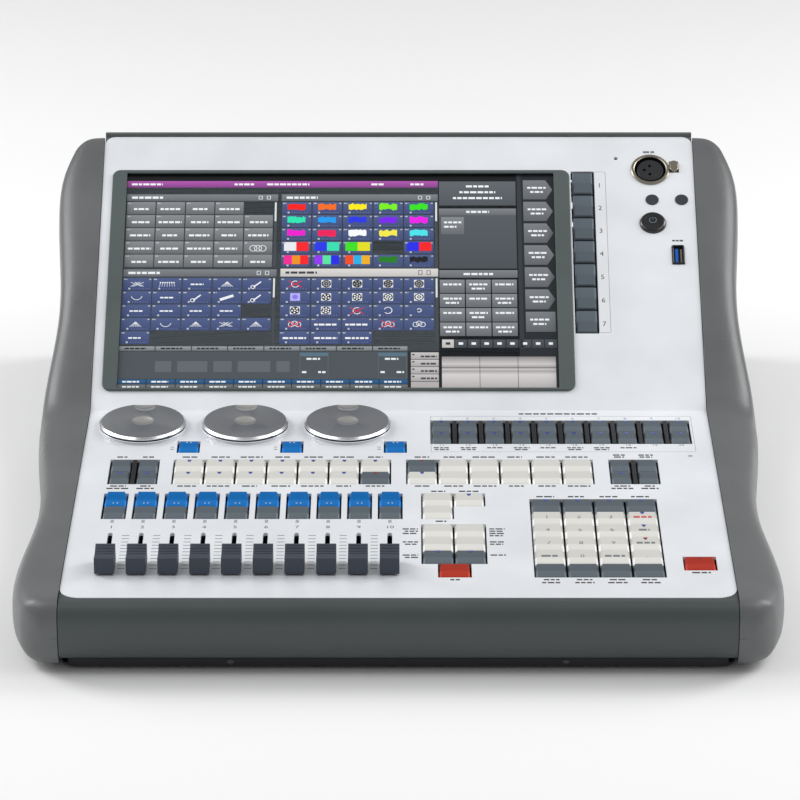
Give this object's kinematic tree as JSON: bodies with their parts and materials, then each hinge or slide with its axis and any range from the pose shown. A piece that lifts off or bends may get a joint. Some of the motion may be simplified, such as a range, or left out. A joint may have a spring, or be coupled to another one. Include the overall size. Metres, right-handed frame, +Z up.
{
  "type": "lighting control desk",
  "caption": "Compact lighting control desk with sloping touch screen, playback faders, encoder wheels and key banks between moulded end cheeks.",
  "frame": {"origin": "centre of the footprint, at the underside of the rubber feet", "axes": "+X to the user's right, +Y away from the user to the connector side, +Z up"},
  "size_m": [0.4228, 0.4451, 0.1491],
  "materials": {
    "face_aluminium": "satin, brushed across",
    "bumper_plastic": "fine satin",
    "cheek_moulding": "fine leather-like grain",
    "black_steel": "matt powder coat",
    "grey_steel": "fine powder coat",
    "bezel_plastic": "fine grain",
    "glass": "clear, flat",
    "display": "lit panel",
    "circuit_board": "solder mask",
    "black_board": "black solder mask",
    "zinc_steel": "plain plated",
    "black_plastic": "satin",
    "white_plastic": "satin",
    "brass": "plain",
    "wheel_aluminium": "turned, satin",
    "blue_key": "satin",
    "grey_key": "satin",
    "cream_key": "satin",
    "red_key": "satin",
    "fader_cap": "matt",
    "screw_steel": "blackened",
    "rubber": "matt"
  },
  "bodies": {
    "desk": {"base_tray": "black_steel", "faceplate": "face_aluminium", "front_bumper": "bumper_plastic", "left_cheek": "cheek_moulding", "right_cheek": "cheek_moulding", "rear_cover": "grey_steel", "screen_bezel": "bezel_plastic", "touch_glass": "glass", "lcd_panel": "display", "main_board": "circuit_board", "power_supply": "zinc_steel", "fan_frame": "black_plastic", "key_board": "black_board", "screen_board": "black_board", "board_posts": "brass", "encoders": "zinc_steel", "wheel_collars": "white_plastic", "fader_tracks": "black_steel", "lamp_socket": "black_plastic", "usb_socket": "zinc_steel", "blanking_plugs": "black_plastic", "mains_inlet": "black_plastic", "dmx_sockets": "black_plastic", "data_sockets": "zinc_steel", "vent_grille": "zinc_steel", "case_screws": "screw_steel", "rubber_feet": "rubber"},
    "fader_1": {"fader_1": "fader_cap"},
    "fader_2": {"fader_2": "fader_cap"},
    "fader_3": {"fader_3": "fader_cap"},
    "fader_4": {"fader_4": "fader_cap"},
    "fader_5": {"fader_5": "fader_cap"},
    "fader_6": {"fader_6": "fader_cap"},
    "fader_7": {"fader_7": "fader_cap"},
    "fader_8": {"fader_8": "fader_cap"},
    "fader_9": {"fader_9": "fader_cap"},
    "fader_10": {"fader_10": "fader_cap"},
    "left_wheel": {"left_wheel": "wheel_aluminium"},
    "middle_wheel": {"middle_wheel": "wheel_aluminium"},
    "right_wheel": {"right_wheel": "wheel_aluminium"},
    "left_wheel_key": {"left_wheel_key": "blue_key"},
    "middle_wheel_key": {"middle_wheel_key": "blue_key"},
    "right_wheel_key": {"right_wheel_key": "blue_key"},
    "go_key": {"go_key": "red_key"},
    "locate_key": {"locate_key": "red_key"},
    "flash_keys": {"flash_keys": "blue_key"},
    "select_keys": {"select_keys": "grey_key"},
    "fixture_keys": {"fixture_keys": "grey_key"},
    "attribute_keys": {"attribute_keys": "cream_key"},
    "function_keys": {"function_keys": "cream_key"},
    "window_keys": {"window_keys": "grey_key"},
    "macro_keys": {"macro_keys": "grey_key"},
    "page_keys": {"page_keys": "cream_key"},
    "cue_keys": {"cue_keys": "cream_key"},
    "number_keys": {"number_keys": "cream_key"},
    "soft_keys": {"soft_keys": "grey_key"},
    "power_button": {"power_button": "black_plastic"},
    "lamp_latch": {"lamp_latch": "zinc_steel"},
    "mains_rocker": {"mains_rocker": "black_plastic"},
    "fan_rotor": {"fan_rotor": "black_plastic"}
  },
  "joints": [
    {"name": "fader_1_slide", "type": "slide", "parent": "desk", "child": "fader_1", "axis": [0, 1, 0], "range_m": [0, 0.042]},
    {"name": "fader_2_slide", "type": "slide", "parent": "desk", "child": "fader_2", "axis": [0, 1, 0], "range_m": [0, 0.042]},
    {"name": "fader_3_slide", "type": "slide", "parent": "desk", "child": "fader_3", "axis": [0, 1, 0], "range_m": [0, 0.042]},
    {"name": "fader_4_slide", "type": "slide", "parent": "desk", "child": "fader_4", "axis": [0, 1, 0], "range_m": [0, 0.042]},
    {"name": "fader_5_slide", "type": "slide", "parent": "desk", "child": "fader_5", "axis": [0, 1, 0], "range_m": [0, 0.042]},
    {"name": "fader_6_slide", "type": "slide", "parent": "desk", "child": "fader_6", "axis": [0, 1, 0], "range_m": [0, 0.042]},
    {"name": "fader_7_slide", "type": "slide", "parent": "desk", "child": "fader_7", "axis": [0, 1, 0], "range_m": [0, 0.042]},
    {"name": "fader_8_slide", "type": "slide", "parent": "desk", "child": "fader_8", "axis": [0, 1, 0], "range_m": [0, 0.042]},
    {"name": "fader_9_slide", "type": "slide", "parent": "desk", "child": "fader_9", "axis": [0, 1, 0], "range_m": [0, 0.042]},
    {"name": "fader_10_slide", "type": "slide", "parent": "desk", "child": "fader_10", "axis": [0, 1, 0], "range_m": [0, 0.042]},
    {"name": "left_wheel_turn", "type": "hinge", "parent": "desk", "child": "left_wheel", "pos_m": [-0.1491, 0.0135, 0.041], "axis": [0, 0, 1], "continuous": true},
    {"name": "middle_wheel_turn", "type": "hinge", "parent": "desk", "child": "middle_wheel", "pos_m": [-0.0894, 0.0135, 0.041], "axis": [0, 0, 1], "continuous": true},
    {"name": "right_wheel_turn", "type": "hinge", "parent": "desk", "child": "right_wheel", "pos_m": [-0.0297, 0.0135, 0.041], "axis": [0, 0, 1], "continuous": true},
    {"name": "left_wheel_key_press", "type": "slide", "parent": "desk", "child": "left_wheel_key", "axis": [0, 0, -1], "range_m": [0, 0.0012], "stiffness_N_per_m": 600, "springref_m": -0.0012},
    {"name": "middle_wheel_key_press", "type": "slide", "parent": "desk", "child": "middle_wheel_key", "axis": [0, 0, -1], "range_m": [0, 0.0012], "stiffness_N_per_m": 600, "springref_m": -0.0012},
    {"name": "right_wheel_key_press", "type": "slide", "parent": "desk", "child": "right_wheel_key", "axis": [0, 0, -1], "range_m": [0, 0.0012], "stiffness_N_per_m": 600, "springref_m": -0.0012},
    {"name": "go_key_press", "type": "slide", "parent": "desk", "child": "go_key", "axis": [0, 0, -1], "range_m": [0, 0.0012], "stiffness_N_per_m": 600, "springref_m": -0.0012},
    {"name": "locate_key_press", "type": "slide", "parent": "desk", "child": "locate_key", "axis": [0, 0, -1], "range_m": [0, 0.0012], "stiffness_N_per_m": 600, "springref_m": -0.0012},
    {"name": "flash_keys_press", "type": "slide", "parent": "desk", "child": "flash_keys", "axis": [0, 0, -1], "range_m": [0, 0.0012], "stiffness_N_per_m": 1200, "springref_m": -0.0012},
    {"name": "select_keys_press", "type": "slide", "parent": "desk", "child": "select_keys", "axis": [0, 0, -1], "range_m": [0, 0.0012], "stiffness_N_per_m": 1200, "springref_m": -0.0012},
    {"name": "fixture_keys_press", "type": "slide", "parent": "desk", "child": "fixture_keys", "axis": [0, 0, -1], "range_m": [0, 0.0012], "stiffness_N_per_m": 1200, "springref_m": -0.0012},
    {"name": "attribute_keys_press", "type": "slide", "parent": "desk", "child": "attribute_keys", "axis": [0, 0, -1], "range_m": [0, 0.0012], "stiffness_N_per_m": 1200, "springref_m": -0.0012},
    {"name": "function_keys_press", "type": "slide", "parent": "desk", "child": "function_keys", "axis": [0, 0, -1], "range_m": [0, 0.0012], "stiffness_N_per_m": 1200, "springref_m": -0.0012},
    {"name": "window_keys_press", "type": "slide", "parent": "desk", "child": "window_keys", "axis": [0, 0, -1], "range_m": [0, 0.0012], "stiffness_N_per_m": 1200, "springref_m": -0.0012},
    {"name": "macro_keys_press", "type": "slide", "parent": "desk", "child": "macro_keys", "axis": [0, 0, -1], "range_m": [0, 0.0012], "stiffness_N_per_m": 1200, "springref_m": -0.0012},
    {"name": "page_keys_press", "type": "slide", "parent": "desk", "child": "page_keys", "axis": [0, 0, -1], "range_m": [0, 0.0012], "stiffness_N_per_m": 1200, "springref_m": -0.0012},
    {"name": "cue_keys_press", "type": "slide", "parent": "desk", "child": "cue_keys", "axis": [0, 0, -1], "range_m": [0, 0.0012], "stiffness_N_per_m": 1200, "springref_m": -0.0012},
    {"name": "number_keys_press", "type": "slide", "parent": "desk", "child": "number_keys", "axis": [0, 0, -1], "range_m": [0, 0.0012], "stiffness_N_per_m": 1200, "springref_m": -0.0012},
    {"name": "soft_keys_press", "type": "slide", "parent": "desk", "child": "soft_keys", "axis": [0, 0.5075, -0.8616], "range_m": [0, 0.0012], "stiffness_N_per_m": 1200, "springref_m": -0.0012},
    {"name": "power_button_press", "type": "slide", "parent": "desk", "child": "power_button", "axis": [0, 0.5075, -0.8616], "range_m": [0, 0.0012], "stiffness_N_per_m": 900, "springref_m": -0.0012},
    {"name": "lamp_latch_press", "type": "slide", "parent": "desk", "child": "lamp_latch", "axis": [0, 0.5075, -0.8616], "range_m": [0, 0.001], "stiffness_N_per_m": 900, "springref_m": -0.0012},
    {"name": "mains_rocker_tilt", "type": "hinge", "parent": "desk", "child": "mains_rocker", "pos_m": [-0.125, 0.2188, 0.034], "axis": [1, 0, 0], "range_deg": [0, 14]},
    {"name": "fan_rotor_spin", "type": "hinge", "parent": "desk", "child": "fan_rotor", "pos_m": [0.096, 0.2126, 0.098], "axis": [0, 1, 0], "continuous": true}
  ]
}
